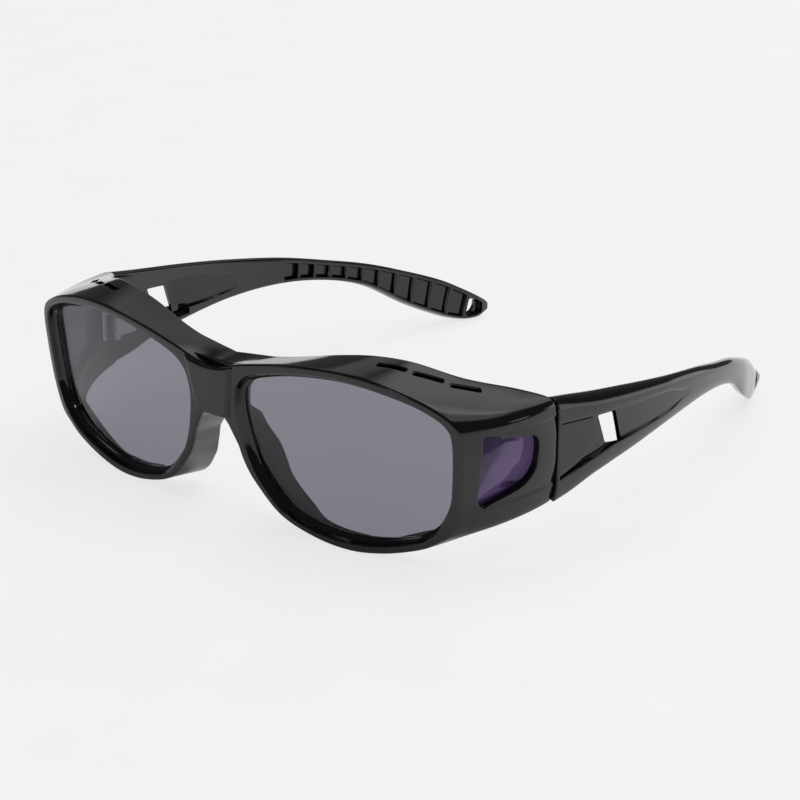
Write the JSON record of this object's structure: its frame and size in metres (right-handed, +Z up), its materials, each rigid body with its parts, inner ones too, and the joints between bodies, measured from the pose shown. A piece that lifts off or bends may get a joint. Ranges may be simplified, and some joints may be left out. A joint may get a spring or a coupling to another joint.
{
  "type": "fit-over wraparound sunglasses",
  "caption": "Gloss black fit-over sunglasses with a deep brow shelf, side walls with small tinted windows, nose flanges, grey wrapped lenses and broad folding temples.",
  "frame": {"origin": "on the table under the middle of the whole object, glasses open and resting on the rims and the temple tips", "axes": "+X towards the wearer's left, -Y the way the lenses face, +Z up"},
  "size_m": [0.1526, 0.1684, 0.0467],
  "materials": {
    "frame": "gloss black injection-moulded polycarbonate",
    "lens": "polished grey tint",
    "side_pane": "polished purple-grey tint",
    "hinge": "stainless, plain"
  },
  "bodies": {
    "front": {"front_frame": "frame", "left_lens": "lens", "right_lens": "lens", "left_side_pane": "side_pane", "right_side_pane": "side_pane", "left_front_leaf": "hinge", "right_front_leaf": "hinge", "left_hinge_screw": "hinge", "right_hinge_screw": "hinge"},
    "left_arm": {"left_temple": "frame", "left_temple_leaf": "hinge"},
    "right_arm": {"right_temple": "frame", "right_temple_leaf": "hinge"}
  },
  "joints": [
    {"name": "left_temple_fold", "type": "hinge", "parent": "front", "child": "left_arm", "pos_m": [0.0701, -0.0453, 0.0252], "axis": [0, 0, 1], "range_deg": [0, 86]},
    {"name": "right_temple_fold", "type": "hinge", "parent": "front", "child": "right_arm", "pos_m": [-0.0701, -0.0453, 0.0252], "axis": [0, 0, -1], "range_deg": [0, 77]}
  ]
}
